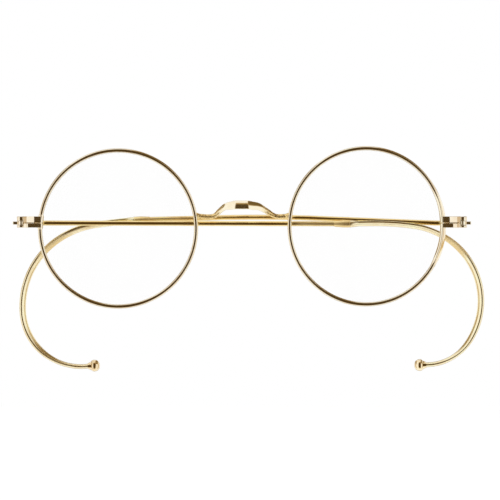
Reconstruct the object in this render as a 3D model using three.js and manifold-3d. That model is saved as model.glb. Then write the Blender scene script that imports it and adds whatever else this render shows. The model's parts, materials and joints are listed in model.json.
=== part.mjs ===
// Round wire-rim spectacles with a saddle bridge and cable temples, folded shut.
// Millimetres, +Z up as worn, the front faces -Y. Right and left are the wearer's: right is at -X.
// The origin is on the nose side of the bridge's crest, where the spectacles sit on the nose.

import * as THREE from 'three';
import { mergeVertices } from 'three/addons/utils/BufferGeometryUtils.js';
import Module from 'manifold-3d';

// Lenses and rims
const EYE_SIZE = 40; // lens diameter, measured at the bottom of the rim's groove
const LENS_GAP = 24; // distance between the two lenses
const LENS_THICKNESS = 1.6;
const LENS_CURVE = 130; // radius of both lens faces
const LENS_CLEARANCE = 0.08;
const RIM_DEPTH = 1.1; // radial thickness of the rim wire
const RIM_LIP = 0.4; // front and back of the groove
const RIM_CORNER = 0.25;
const GROOVE_DEPTH = 0.4;
const GROOVE_WIDTH = 1.0;
const RIM_SPLIT = 0.24; // gap between the rim's two ends
const SOLDER_GAP = 0.1; // between a soldered piece and the wire that it sits on

// Bridge
const FOOT_HEIGHT = 2.75; // above the rims' centres
const FOOT_LENGTH = 2.3;
const FOOT_THICKNESS = 1.25;
const FLANK_REACH = 6.2; // half the width of the arch at its shoulders
const FLANK_HEIGHT = 4.3;
const FLANK_PROJECTION = 0.6;
const ROLL_REACH = 2.6; // half the width where the crest rolls over into the flanks
const ROLL_DROP = 0.15; // how far the strip has come down there
const ROLL_BACK = 0.3; // how far it has gone back there
const CREST_HEIGHT = 5.62; // middle of the strip above the rims' centres
const CREST_PROJECTION = 2.5; // how far the crest stands in front of the rims
const CREST_FLAT = 3.2; // length of the straight stretch at the crest
const CREST_WIDTH = 2.35;
const CREST_THICKNESS = 0.9;
const CREST_LEAN = 20; // degrees that the strip's lower edge leans forward
const CREST_FACE = 0.75; // share of the strip's width that is flat
const CREST_EDGE = 0.45; // share of the strip's thickness that is flat at its edges

// End pieces: two halves that close the rim, with the outer hinge knuckles
const JOINT_HEIGHT = 0.97; // of the split between the halves, above the rims' centres
const UPPER_LUG_TALL = 1.14; // the upper outer hinge knuckle
const LOWER_LUG_TALL = 0.64;
const JOINT_GAP = 0.2; // between the two halves
const BLOCK_LENGTH = 2.9;
const BLOCK_DEPTH = 2.0; // front to back
const UPPER_FLAT = 1.0; // length of the upper half's flat front before it slopes back
const UPPER_SLOPE = 0.55; // how far the slope goes back
const NECK_SETBACK = 0.4; // of the neck's front behind the block's front
const NECK_CLEARANCE = 0.15; // between the neck's back and the temple's knuckle
const HINGE_REACH = 1.5; // hinge axis beyond the block's end
const FOLD_ROOM = 1.38; // between a rim's back and a folded cable, beside the hinge
const KNUCKLE_WALL = 0.34; // round the seat of the hinge screw's head

// Screws
const SHANK_RADIUS = 0.45;
const HEAD_LIP = 0.25; // of a screw's head round its shank
const HEAD_HEIGHT = 0.45;
const SLOT_WIDTH = 0.26;
const SLOT_DEPTH = 0.22;
const SCREW_CLEARANCE = 0.05;
const HEAD_CLEARANCE = 0.06;

// Temples
const LET_BACK = 94; // degrees between the front and an open temple, where the tail meets its stop
const KNUCKLE_TALL = 1.0; // the temple's middle knuckle
const KNUCKLE_CLEARANCE = 0.06;
const TAIL_REACH = 2.2; // stop tail beyond the hinge axis
const TAIL_WIDTH = 0.9;
const TAIL_TALL = 0.8;
const STOP_CLEARANCE = 0.04;
const TANG_WIDTH = 1.1;
const TANG_OVERHANG = 0.5; // of the tang past the hinge axis
const WIRE_OFFSET = 1.2; // wire behind the hinge axis when folded
const WIRE_RADIUS = 0.65;
const SOCKET_WALL = 0.18;
const SOCKET_START = 1.7; // from the hinge axis
const SOCKET_LENGTH = 3.6;
const SOCKET_DEPTH = 2.5;
const WIRE_CLEARANCE = 0.05;
const RISE_START = 6; // where the wire is bent up or down to set its height
const RISE_RADIUS = 60;
const FERRULE_SHORT = 33.2; // straight length from the hinge to the ferrule, short of the other hinge
const FERRULE_LENGTH = 4;
const FERRULE_SOCKET = 1.6;
const CABLE_EXTRA = 0.27; // cable's radius beyond the wire's
const CORE_RADIUS = 0.4;
const CORE_CLEARANCE = 0.1;
const BALL_RADIUS = 1.5;
const COLLAR_LIP = 0.13; // of the ball's collar round the cable
const COLLAR_REACH = 0.83; // of the collar out of the ball
const TIP_RUN = 0.6; // straight end of the cable before the collar
const CORE_SOCKET = 0.6; // depth of the core's end in the ferrule and in the ball
const END_GAP = 0.05;

// Each temple was bent by hand. Its straight run stops short of the distance between the hinges,
// then come a wide sweep, the curl round the ear, and the curl's tighter end.
const RIGHT_RUN_SHORT = 33.2;
const RIGHT_SWEEP_RADIUS = 134;
const RIGHT_CURL_RADIUS = 19.2;
const RIGHT_END_RADIUS = 13;
const LEFT_RUN_SHORT = 85.7;
const LEFT_SWEEP_RADIUS = 400;
const LEFT_CURL_RADIUS = 21.1;
const LEFT_END_RADIUS = 15.1;

// Facets
const MERGE_WITHIN = 1e-4;
const RIM_STEPS = 56;
const CABLE_STEPS = 36;
const WIRE_STEPS = 16;
const BRIDGE_STEPS = 33; // odd, so that one straight stretch lies at the crest
const ROUND_SIDES = 16;
const WIRE_SIDES = 8;

// Sizes and places that follow
const RIM_WIDTH = GROOVE_WIDTH + 2 * RIM_LIP; // front to back
const RIM_X = (EYE_SIZE + LENS_GAP) / 2;
const RIM_OUTSIDE = EYE_SIZE / 2 - GROOVE_DEPTH + RIM_DEPTH;
const BLOCK_START = RIM_X + RIM_OUTSIDE;
const BLOCK_END = BLOCK_START + BLOCK_LENGTH;
const HINGE_X = BLOCK_END + HINGE_REACH;
const CABLE_RADIUS = WIRE_RADIUS + CABLE_EXTRA;
const HINGE_SETBACK = RIM_WIDTH / 2 + FOLD_ROOM + CABLE_RADIUS - WIRE_OFFSET; // behind the rims' middle
const HEAD_RADIUS = SHANK_RADIUS + HEAD_LIP;
const KNUCKLE_RADIUS = HEAD_RADIUS + HEAD_CLEARANCE + KNUCKLE_WALL;
const NECK_BACK = HINGE_SETBACK - KNUCKLE_RADIUS - NECK_CLEARANCE;
const BLOCK_FRONT = -BLOCK_DEPTH / 2;
const BLOCK_BACK = BLOCK_DEPTH / 2;
const CLOSING_SCREW_X = BLOCK_START + BLOCK_LENGTH / 2;
const LUG_START = KNUCKLE_TALL / 2 + KNUCKLE_CLEARANCE; // above the split between the halves
const UPPER_END = LUG_START + UPPER_LUG_TALL;
const LOWER_END = LUG_START + LOWER_LUG_TALL; // below the split
const HINGE_SPAN = 2 * HINGE_X;
const FERRULE_START = HINGE_SPAN - FERRULE_SHORT;
const STOP_LEAN = THREE.MathUtils.degToRad(LET_BACK - 90);
const TAIL_END = TAIL_REACH - TAIL_WIDTH / 2; // middle of the tail's round end
const STOP_REACH = TAIL_WIDTH / 2 + TAIL_END * Math.sin(STOP_LEAN) + STOP_CLEARANCE;
const NECK_END = HINGE_X - STOP_REACH;
const SOCKET_RADIUS = WIRE_RADIUS + WIRE_CLEARANCE + SOCKET_WALL;
const COLLAR_RADIUS = CABLE_RADIUS + COLLAR_LIP;
const COLLAR_SEAT = Math.sqrt(BALL_RADIUS ** 2 - COLLAR_RADIUS ** 2); // from the ball's middle
const COLLAR_LENGTH = COLLAR_SEAT + COLLAR_REACH;
const CREST_TILT = THREE.MathUtils.degToRad(CREST_LEAN);

// Degrees short of parallel when folded, degrees that the wire rises from the hinge, and degrees of turn
const RIGHT_TEMPLE = {
  fold: -0.6,
  rise: -0.15,
  run: HINGE_SPAN - RIGHT_RUN_SHORT,
  bends: [
    { radius: RIGHT_SWEEP_RADIUS, turn: 6.3 },
    { radius: RIGHT_CURL_RADIUS, turn: 118 },
    { radius: RIGHT_END_RADIUS, turn: 53 },
  ],
};
const LEFT_TEMPLE = {
  fold: 1.4,
  rise: 2.3,
  run: HINGE_SPAN - LEFT_RUN_SHORT,
  bends: [
    { radius: LEFT_SWEEP_RADIUS, turn: 8.35 },
    { radius: LEFT_CURL_RADIUS, turn: 87.5 },
    { radius: LEFT_END_RADIUS, turn: 91 },
  ],
};

const wasm = await Module();
wasm.setup();

const gold = new THREE.MeshStandardMaterial({ color: 0xd9b676, roughness: 0.22, metalness: 1 });
const darkGold = new THREE.MeshStandardMaterial({ color: 0xb08d52, roughness: 0.3, metalness: 1 });
const cableGold = new THREE.MeshStandardMaterial({ color: 0xd2ba88, roughness: 0.35, metalness: 1 });
const clear = new THREE.MeshStandardMaterial({
  color: 0xf4f7f6,
  roughness: 0.03,
  metalness: 0,
  transparent: true,
  opacity: 0.2,
});

// A closed three.js geometry as a solid that can be joined and cut
function solidOf(geometry) {
  const bare = geometry.clone();
  bare.deleteAttribute('normal');
  bare.deleteAttribute('uv');
  const merged = mergeVertices(bare, MERGE_WITHIN);
  const vertProperties = new Float32Array(merged.attributes.position.array);
  const triVerts = new Uint32Array(merged.index.array);
  return new wasm.Manifold(new wasm.Mesh({ numProp: 3, vertProperties, triVerts }));
}

function geometryOf(solid) {
  const { vertProperties, triVerts } = solid.getMesh();
  const geometry = new THREE.BufferGeometry();
  geometry.setAttribute('position', new THREE.BufferAttribute(new Float32Array(vertProperties), 3));
  geometry.setIndex(new THREE.BufferAttribute(new Uint32Array(triVerts), 1));
  geometry.computeVertexNormals();
  return geometry;
}

function named(name, geometry, material) {
  const mesh = new THREE.Mesh(geometry, material);
  mesh.name = name;
  return mesh;
}

// A flat plate: an outline in X and Y, from one height to another
function plate(outline, from, to) {
  const shape = new THREE.Shape(outline.map(([x, y]) => new THREE.Vector2(x, y)));
  const geometry = new THREE.ExtrudeGeometry(shape, { depth: to - from, bevelEnabled: false });
  return geometry.translate(0, 0, from);
}

// A round upright rod
function rod(radius, from, to, x, y, sides = ROUND_SIDES) {
  const geometry = new THREE.CylinderGeometry(radius, radius, to - from, sides);
  return geometry.rotateX(Math.PI / 2).translate(x, y, (from + to) / 2);
}

function arc(radius, start, end, steps) {
  return Array.from({ length: steps + 1 }, (_, i) => {
    const angle = start + ((end - start) * i) / steps;
    return [radius * Math.cos(angle), radius * Math.sin(angle)];
  });
}

function circle(radius, sides) {
  return arc(radius, 0, 2 * Math.PI, sides).slice(0, sides).map(([x, y]) => new THREE.Vector2(x, y));
}

// The rim's centreline: a circle that stays open at the end piece, half the split on each side.
// Both rims run the same way round, so that the section's outside stays outside.
class RimLine extends THREE.Curve {
  constructor(side) {
    super();
    this.side = side;
    this.radius = EYE_SIZE / 2;
    this.middle = Math.asin(JOINT_HEIGHT / this.radius);
    this.open = RIM_SPLIT / this.radius;
  }

  getPoint(t, target = new THREE.Vector3()) {
    const round = this.side > 0 ? t : 1 - t;
    const angle = this.middle + this.open / 2 + (2 * Math.PI - this.open) * round;
    const x = this.side * (RIM_X + this.radius * Math.cos(angle));
    return target.set(x, 0, this.radius * Math.sin(angle));
  }
}

// A wire bent in one upright plane: it starts at the hinge, runs straight, and turns at each bend
class TempleLine extends THREE.Curve {
  constructor(side, bent, from, to) {
    super();
    this.side = side;
    this.from = from;
    this.to = to;
    this.runs = [
      { length: RISE_START, curve: 0 },
      TempleLine.bend({ radius: RISE_RADIUS, turn: -bent.rise }),
      { length: bent.run, curve: 0 },
      ...bent.bends.map(TempleLine.bend),
      { length: TIP_RUN + COLLAR_LENGTH, curve: 0 },
    ];
  }

  static bend({ radius, turn }) {
    const angle = THREE.MathUtils.degToRad(turn);
    return { length: radius * Math.abs(angle), curve: Math.sign(angle) / radius };
  }

  static wholeLength(bent) {
    return new TempleLine(1, bent, 0, 0).runs.reduce((sum, run) => sum + run.length, 0);
  }

  getPoint(t, target = new THREE.Vector3()) {
    let left = this.from + (this.to - this.from) * t;
    let along = 0;
    let height = 0;
    let slope = 0;
    for (const { length, curve } of this.runs) {
      const step = Math.min(left, length);
      const turned = slope - curve * step;
      along += curve ? (Math.sin(slope) - Math.sin(turned)) / curve : step * Math.cos(slope);
      height += curve ? (Math.cos(turned) - Math.cos(slope)) / curve : step * Math.sin(slope);
      slope = turned;
      left -= step;
    }
    return target.set(-this.side * along, WIRE_OFFSET, height);
  }
}

// A section carried along a line
function tube(outline, line, steps, bore) {
  const shape = new THREE.Shape(outline);
  if (bore) shape.holes.push(new THREE.Path(bore));
  return new THREE.ExtrudeGeometry(shape, { steps, extrudePath: line, bevelEnabled: false });
}

// The rim's section: a rounded bar, X front to back and Y outwards from the groove's bottom
function rimSection() {
  const half = RIM_WIDTH / 2;
  const inside = -GROOVE_DEPTH;
  const outside = RIM_DEPTH - GROOVE_DEPTH;
  const shift = (corner, x, y) => corner.map(([dx, dy]) => new THREE.Vector2(x + dx, y + dy));
  const quarter = Math.PI / 2;
  return [
    new THREE.Vector2(-GROOVE_WIDTH / 2, inside),
    new THREE.Vector2(0, 0),
    new THREE.Vector2(GROOVE_WIDTH / 2, inside),
    ...shift(arc(RIM_CORNER, -quarter, 0, 1), half - RIM_CORNER, inside + RIM_CORNER),
    ...shift(arc(RIM_CORNER, 0, quarter, 2), half - RIM_CORNER, outside - RIM_CORNER),
    ...shift(arc(RIM_CORNER, quarter, 2 * quarter, 2), RIM_CORNER - half, outside - RIM_CORNER),
    ...shift(arc(RIM_CORNER, 2 * quarter, 3 * quarter, 1), RIM_CORNER - half, inside + RIM_CORNER),
  ];
}

function rim(side) {
  return tube(rimSection(), new RimLine(side), RIM_STEPS);
}

// A meniscus lens, hollow towards the wearer, with a bevel that sits in the rim's groove
function lens(side) {
  const edge = EYE_SIZE / 2 - GROOVE_DEPTH - LENS_CLEARANCE;
  const tip = EYE_SIZE / 2 - LENS_CLEARANCE;
  const half = LENS_THICKNESS / 2;
  const bevel = GROOVE_WIDTH / 2 - LENS_CLEARANCE;
  const rise = (radius) => LENS_CURVE - Math.sqrt(LENS_CURVE ** 2 - radius ** 2);
  const face = (radius, y) => new THREE.Vector2(radius, y - rise(edge) + rise(radius));
  const rings = [0, edge / 2, edge];
  const profile = [
    ...rings.map((radius) => face(radius, -half)),
    new THREE.Vector2(edge, -bevel),
    new THREE.Vector2(tip, 0),
    new THREE.Vector2(edge, bevel),
    ...rings.reverse().map((radius) => face(radius, half)),
  ];
  return new THREE.LatheGeometry(profile, RIM_STEPS).translate(side * RIM_X, 0, 0);
}

// The bridge's centreline from one rim to the other, over the crest
function bridgeLine() {
  const footEnd = RIM_X - Math.sqrt(RIM_OUTSIDE ** 2 - FOOT_HEIGHT ** 2) - SOLDER_GAP;
  const half = [
    [footEnd, 0, FOOT_HEIGHT],
    [footEnd - FOOT_LENGTH, 0, FOOT_HEIGHT],
    [FLANK_REACH, -FLANK_PROJECTION, FLANK_HEIGHT],
    [ROLL_REACH, ROLL_BACK - CREST_PROJECTION, CREST_HEIGHT - ROLL_DROP],
    [CREST_FLAT / 2, -CREST_PROJECTION, CREST_HEIGHT],
  ];
  const crest = [0, -CREST_PROJECTION, CREST_HEIGHT];
  const mirrored = half.map(([x, y, z]) => [-x, y, z]).reverse();
  const points = [...half, crest, ...mirrored].map((p) => new THREE.Vector3(...p));
  return new THREE.CatmullRomCurve3(points);
}

// One ring of the bridge: round at the feet, a leaning flat strip at the crest
function bridgeRing(line, t) {
  const centre = line.getPointAt(t);
  const along = line.getTangentAt(t);
  const footEnd = line.getPointAt(0).x;
  const out = Math.abs(centre.x);
  const fade = THREE.MathUtils.smoothstep(out, CREST_FLAT / 2, footEnd - FOOT_LENGTH);
  const wide = THREE.MathUtils.lerp(CREST_WIDTH, FOOT_THICKNESS, fade) / 2;
  const thick = THREE.MathUtils.lerp(CREST_THICKNESS, FOOT_THICKNESS, fade) / 2;
  const lean = new THREE.Vector3(0, Math.sin(CREST_TILT), Math.cos(CREST_TILT));
  const across = lean.addScaledVector(along, -lean.dot(along)).normalize();
  const through = new THREE.Vector3().crossVectors(along, across);
  const round = Math.tan(Math.PI / 8); // an even octagon
  const face = THREE.MathUtils.lerp(CREST_FACE, round, fade);
  const edge = THREE.MathUtils.lerp(CREST_EDGE, round, fade);
  const section = [
    [1, edge],
    [face, 1],
    [-face, 1],
    [-1, edge],
    [-1, -edge],
    [-face, -1],
    [face, -1],
    [1, -edge],
  ];
  return section.map(([a, b]) =>
    centre.clone().addScaledVector(across, a * wide).addScaledVector(through, b * thick),
  );
}

// A closed skin over a row of rings, with flat ends
function loft(rings) {
  const sides = rings[0].length;
  const positions = rings.flat().flatMap((p) => [p.x, p.y, p.z]);
  const index = [];
  for (let r = 0; r + 1 < rings.length; r += 1) {
    for (let i = 0; i < sides; i += 1) {
      const a = r * sides + i;
      const b = r * sides + ((i + 1) % sides);
      index.push(a, b, a + sides, b, b + sides, a + sides);
    }
  }
  const last = (rings.length - 1) * sides;
  for (let i = 1; i + 1 < sides; i += 1) {
    index.push(0, i + 1, i, last, last + i, last + i + 1);
  }
  const geometry = new THREE.BufferGeometry();
  geometry.setAttribute('position', new THREE.Float32BufferAttribute(positions, 3));
  geometry.setIndex(index);
  geometry.computeVertexNormals();
  return geometry;
}

function bridgeRings() {
  const line = bridgeLine();
  return Array.from({ length: BRIDGE_STEPS + 1 }, (_, i) => bridgeRing(line, i / BRIDGE_STEPS));
}

// The middle of the flat on the nose side of the crest: the second and third points of its two rings
function saddlePoint(rings) {
  const before = (BRIDGE_STEPS - 1) / 2;
  const corners = [rings[before], rings[before + 1]].flatMap((ring) => ring.slice(1, 3));
  const sum = corners.reduce((total, corner) => total.add(corner), new THREE.Vector3());
  return sum.divideScalar(corners.length);
}

// The front edge of an end piece half, from the rim to the neck's end
function blockFront(upper) {
  const neckFront = BLOCK_FRONT + NECK_SETBACK;
  if (!upper) {
    return [
      [BLOCK_END, BLOCK_FRONT],
      [BLOCK_END, neckFront],
      [NECK_END, neckFront],
    ];
  }
  return [
    [BLOCK_START + UPPER_FLAT, BLOCK_FRONT],
    [BLOCK_END, BLOCK_FRONT + UPPER_SLOPE],
    [NECK_END, BLOCK_FRONT + UPPER_SLOPE],
  ];
}

// The block and neck of an end piece half, from above
function blockOutline(upper) {
  const seat = RIM_X + EYE_SIZE / 2;
  return [
    [seat, BLOCK_FRONT],
    ...blockFront(upper),
    [NECK_END, NECK_BACK],
    [BLOCK_END, BLOCK_BACK],
    [seat, BLOCK_BACK],
  ];
}

// The arm that runs from the block to its knuckle, drawn with tangents to the knuckle, from above
function armOutline() {
  const root = CLOSING_SCREW_X + HEAD_RADIUS + HEAD_CLEARANCE;
  const front = [BLOCK_END - HINGE_X, BLOCK_FRONT + UPPER_SLOPE - HINGE_SETBACK];
  const back = [BLOCK_END - HINGE_X, BLOCK_BACK - HINGE_SETBACK];
  const touch = ([x, y], turn) =>
    Math.atan2(y, x) + turn * Math.acos(KNUCKLE_RADIUS / Math.hypot(x, y));
  const knuckle = arc(KNUCKLE_RADIUS, touch(front, 1), touch(back, -1) + 2 * Math.PI, ROUND_SIDES);
  const placed = [front, ...knuckle, back].map(([x, y]) => [HINGE_X + x, HINGE_SETBACK + y]);
  return [[root, placed[0][1]], ...placed, [root, BLOCK_BACK]];
}

// One half of an end piece, with its bores and the seats of the screw heads
function jointHalf(side, upper) {
  const way = upper ? 1 : -1;
  const end = upper ? UPPER_END : LOWER_END;
  const mirror = (outline) => outline.map(([x, y]) => [side * x, y]);
  const between = (outline, near, far) => {
    const [low, high] = [way * near, way * far].sort((a, b) => a - b);
    return solidOf(plate(mirror(outline), JOINT_HEIGHT + low, JOINT_HEIGHT + high));
  };
  const reach = 2 * UPPER_END;
  const drill = (radius, from, x, y) =>
    solidOf(rod(radius, JOINT_HEIGHT + from, JOINT_HEIGHT + reach, side * x, y));
  const rimSeat = new THREE.CylinderGeometry(
    RIM_OUTSIDE + SOLDER_GAP,
    RIM_OUTSIDE + SOLDER_GAP,
    2 * BLOCK_DEPTH,
    4 * RIM_STEPS,
  );
  let half = between(blockOutline(upper), JOINT_GAP / 2, end)
    .add(between(armOutline(), LUG_START, end))
    .subtract(solidOf(rimSeat.translate(side * RIM_X, 0, 0)));
  const seat = UPPER_END - HEAD_HEIGHT - HEAD_CLEARANCE;
  for (const [x, y] of [[CLOSING_SCREW_X, 0], [HINGE_X, HINGE_SETBACK]]) {
    half = half.subtract(drill(SHANK_RADIUS + SCREW_CLEARANCE, -reach, x, y));
    if (upper) half = half.subtract(drill(HEAD_RADIUS + HEAD_CLEARANCE, seat, x, y));
  }
  return geometryOf(half);
}

// A slotted screw, its head level with the top of the end piece
function screw(side, x, y) {
  const bottom = -LOWER_END;
  const neck = UPPER_END - HEAD_HEIGHT;
  const chamfer = HEAD_CLEARANCE;
  const profile = [
    [0, bottom],
    [SHANK_RADIUS, bottom],
    [SHANK_RADIUS, neck],
    [HEAD_RADIUS, neck],
    [HEAD_RADIUS, UPPER_END - chamfer],
    [HEAD_RADIUS - chamfer, UPPER_END],
    [0, UPPER_END],
  ].map((p) => new THREE.Vector2(...p));
  const body = new THREE.LatheGeometry(profile, ROUND_SIDES).rotateX(Math.PI / 2);
  const slot = new THREE.BoxGeometry(4 * HEAD_RADIUS, SLOT_WIDTH, 2 * SLOT_DEPTH);
  const cut = solidOf(body).subtract(solidOf(slot.translate(0, 0, UPPER_END)));
  return geometryOf(cut).translate(side * x, y, JOINT_HEIGHT);
}

// The temple's middle knuckle, its stop tail, and the tang with the wire's socket
function templeButt(side) {
  const half = KNUCKLE_TALL / 2;
  const tang = WIRE_OFFSET - TANG_WIDTH / 2;
  const box = (x0, x1, y0, y1, tall) => {
    const outline = [[x0, y0], [x1, y0], [x1, y1], [x0, y1]].map(([x, y]) => [side * x, y]);
    return solidOf(plate(outline, -tall / 2, tall / 2));
  };
  const socketEnd = SOCKET_START + SOCKET_LENGTH;
  const lying = (radius, from, to) => {
    const bar = new THREE.CylinderGeometry(radius, radius, to - from, ROUND_SIDES);
    return solidOf(bar.rotateZ(Math.PI / 2).translate((-side * (from + to)) / 2, WIRE_OFFSET, 0));
  };
  const blank = solidOf(rod(KNUCKLE_RADIUS, -half, half, 0, 0))
    .add(box(0, TAIL_END, -TAIL_WIDTH / 2, TAIL_WIDTH / 2, TAIL_TALL))
    .add(solidOf(rod(TAIL_WIDTH / 2, -TAIL_TALL / 2, TAIL_TALL / 2, side * TAIL_END, 0)))
    .add(box(-SOCKET_START - SOCKET_LENGTH / 2, TANG_OVERHANG, tang, tang + TANG_WIDTH, KNUCKLE_TALL))
    .add(lying(SOCKET_RADIUS, SOCKET_START, socketEnd));
  const bore = rod(SHANK_RADIUS + SCREW_CLEARANCE, -KNUCKLE_TALL, KNUCKLE_TALL, 0, 0);
  const hole = lying(WIRE_RADIUS + WIRE_CLEARANCE, socketEnd - SOCKET_DEPTH, socketEnd + SOCKET_DEPTH);
  return geometryOf(blank.subtract(solidOf(bore)).subtract(hole));
}

// Turns a lathed piece so that its axis runs along the temple's line at the line's end
function setAtEnd(geometry, line) {
  const upright = new THREE.Vector3(0, 1, 0);
  const turn = new THREE.Quaternion().setFromUnitVectors(upright, line.getTangent(1));
  const place = line.getPoint(1);
  return geometry.applyQuaternion(turn).translate(place.x, place.y, place.z);
}

const ferruleEnd = FERRULE_START + FERRULE_LENGTH;

// A tapered sleeve: the wire's end goes in on one side, the cable's core on the other
function ferrule() {
  const wireHole = WIRE_RADIUS + WIRE_CLEARANCE;
  const coreHole = CORE_RADIUS + CORE_CLEARANCE;
  const profile = [
    [0, FERRULE_SOCKET],
    [wireHole, FERRULE_SOCKET],
    [wireHole, 0],
    [wireHole + WIRE_CLEARANCE, 0],
    [CABLE_RADIUS, FERRULE_LENGTH - FERRULE_SOCKET],
    [CABLE_RADIUS, FERRULE_LENGTH],
    [coreHole, FERRULE_LENGTH],
    [coreHole, FERRULE_LENGTH - CORE_SOCKET - END_GAP],
    [0, FERRULE_LENGTH - CORE_SOCKET - END_GAP],
  ].map((p) => new THREE.Vector2(...p));
  return new THREE.LatheGeometry(profile, ROUND_SIDES);
}

// The ball at the cable's end, on a collar that takes the core
function ballTip() {
  const coreHole = CORE_RADIUS + CORE_CLEARANCE;
  const join = Math.asin(COLLAR_RADIUS / BALL_RADIUS);
  const ball = arc(BALL_RADIUS, join - Math.PI / 2, Math.PI / 2, ROUND_SIDES / 2);
  const profile = [
    [0, CORE_SOCKET + END_GAP - COLLAR_LENGTH],
    [coreHole, CORE_SOCKET + END_GAP - COLLAR_LENGTH],
    [coreHole, -COLLAR_LENGTH],
    [COLLAR_RADIUS, -COLLAR_LENGTH],
    ...ball.slice(0, -1),
    [0, BALL_RADIUS],
  ].map((p) => new THREE.Vector2(...p));
  return new THREE.LatheGeometry(profile, ROUND_SIDES);
}

// One temple in its own group, which turns about the hinge
function temple(name, side, bent) {
  const wholeLength = TempleLine.wholeLength(bent);
  const along = (from, to) => new TempleLine(side, bent, from, to);
  const seat = SOCKET_START + SOCKET_LENGTH - SOCKET_DEPTH + END_GAP;
  const wire = along(seat, FERRULE_START + FERRULE_SOCKET - END_GAP);
  const cableEnd = wholeLength - COLLAR_LENGTH - END_GAP;
  const cable = along(ferruleEnd + END_GAP, cableEnd);
  const core = along(ferruleEnd - CORE_SOCKET, cableEnd + CORE_SOCKET);
  const round = circle(WIRE_RADIUS, WIRE_SIDES);
  const coreHole = circle(CORE_RADIUS + CORE_CLEARANCE, WIRE_SIDES);
  const group = new THREE.Group();
  group.position.set(side * HINGE_X, HINGE_SETBACK, JOINT_HEIGHT);
  group.rotation.z = -side * THREE.MathUtils.degToRad(bent.fold);
  group.add(
    named(`${name}_temple_butt`, templeButt(side), darkGold),
    named(`${name}_temple_wire`, tube(round, wire, WIRE_STEPS), gold),
    named(`${name}_ferrule`, setAtEnd(ferrule(), along(0, FERRULE_START)), gold),
    named(`${name}_cable`, tube(circle(CABLE_RADIUS, WIRE_SIDES), cable, CABLE_STEPS, coreHole), cableGold),
    named(`${name}_cable_core`, tube(circle(CORE_RADIUS, WIRE_SIDES), core, CABLE_STEPS), cableGold),
    named(`${name}_ball_tip`, setAtEnd(ballTip(), along(ferruleEnd, wholeLength)), gold),
  );
  return group;
}

const spectacles = new THREE.Group();
for (const [name, side, bent] of [['right', -1, RIGHT_TEMPLE], ['left', 1, LEFT_TEMPLE]]) {
  spectacles.add(
    named(`${name}_rim`, rim(side), gold),
    named(`${name}_lens`, lens(side), clear),
    named(`${name}_joint_upper`, jointHalf(side, true), gold),
    named(`${name}_joint_lower`, jointHalf(side, false), gold),
    named(`${name}_closing_screw`, screw(side, CLOSING_SCREW_X, 0), darkGold),
    named(`${name}_hinge_screw`, screw(side, HINGE_X, HINGE_SETBACK), darkGold),
    temple(name, side, bent),
  );
}
const arch = bridgeRings();
spectacles.add(named('bridge', loft(arch), gold));
spectacles.position.copy(saddlePoint(arch)).negate();

export default spectacles;
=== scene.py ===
"""Round wire-rim spectacles with cable temples: the looks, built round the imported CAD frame."""

import json
import math

import bmesh
import bpy
import numpy as np
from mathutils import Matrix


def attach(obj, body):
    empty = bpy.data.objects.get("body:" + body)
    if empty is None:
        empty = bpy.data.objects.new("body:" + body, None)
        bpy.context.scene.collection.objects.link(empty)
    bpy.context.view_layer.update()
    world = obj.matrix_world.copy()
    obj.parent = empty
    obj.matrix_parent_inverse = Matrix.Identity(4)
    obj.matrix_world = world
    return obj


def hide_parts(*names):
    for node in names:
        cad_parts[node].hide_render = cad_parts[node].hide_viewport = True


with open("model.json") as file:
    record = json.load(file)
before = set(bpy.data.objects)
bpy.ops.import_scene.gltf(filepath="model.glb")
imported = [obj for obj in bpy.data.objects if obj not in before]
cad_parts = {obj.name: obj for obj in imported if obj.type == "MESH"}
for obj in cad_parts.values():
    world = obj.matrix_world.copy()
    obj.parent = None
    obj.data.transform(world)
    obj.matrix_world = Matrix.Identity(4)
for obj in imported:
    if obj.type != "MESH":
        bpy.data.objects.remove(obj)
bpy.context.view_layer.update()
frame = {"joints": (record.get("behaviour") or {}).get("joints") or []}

# Sizes in millimetres, angles in degrees; the pieces are turned into metres when their meshes are made.
# Where the two sides differ, a size is kept by side: -1 is the wearer's right, at -X, and 1 the left.
MM = 0.001
WELD = 1e-8  # metres between points that are made one
SIDES = {"right": -1, "left": 1}

# Rims and lenses
EYE_SIZE = 40.0
LENS_GAP = 24.0
LENS_THICKNESS = 1.6
LENS_CURVE = 130.0
LENS_CLEARANCE = 0.08
LENS_RINGS, LENS_AROUND = 14, 128
RIM_DEPTH = 1.1
RIM_WIDTH = 1.8
RIM_SQUARENESS = 3.5
RIM_SPLIT = 0.24
RIM_STEPS, RIM_AROUND = 541, 40
GROOVE_DEPTH = 0.4
GROOVE_WIDTH = 1.0
TWIST = 34.0  # how far a rim is rolled over at its end piece
TWIST_START, TWIST_FULL, TWIST_LAST, TWIST_END = 40.0, 0.0, -20.0, -34.0  # round the left rim, bent there
SEAT_RISE, SEAT_SPAN, SEAT_FADE = 0.7, 6.0, 2.0  # from the split, where an end piece is soldered on
RIM_OUT, RIM_LIFT = {-1: 0.0, 1: 0.14}, {-1: -0.45, 1: 0.12}  # how far each rim was bent from its even place
RIM_OVAL = {-1: 1.0, 1: 0.984}  # width over height

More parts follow.
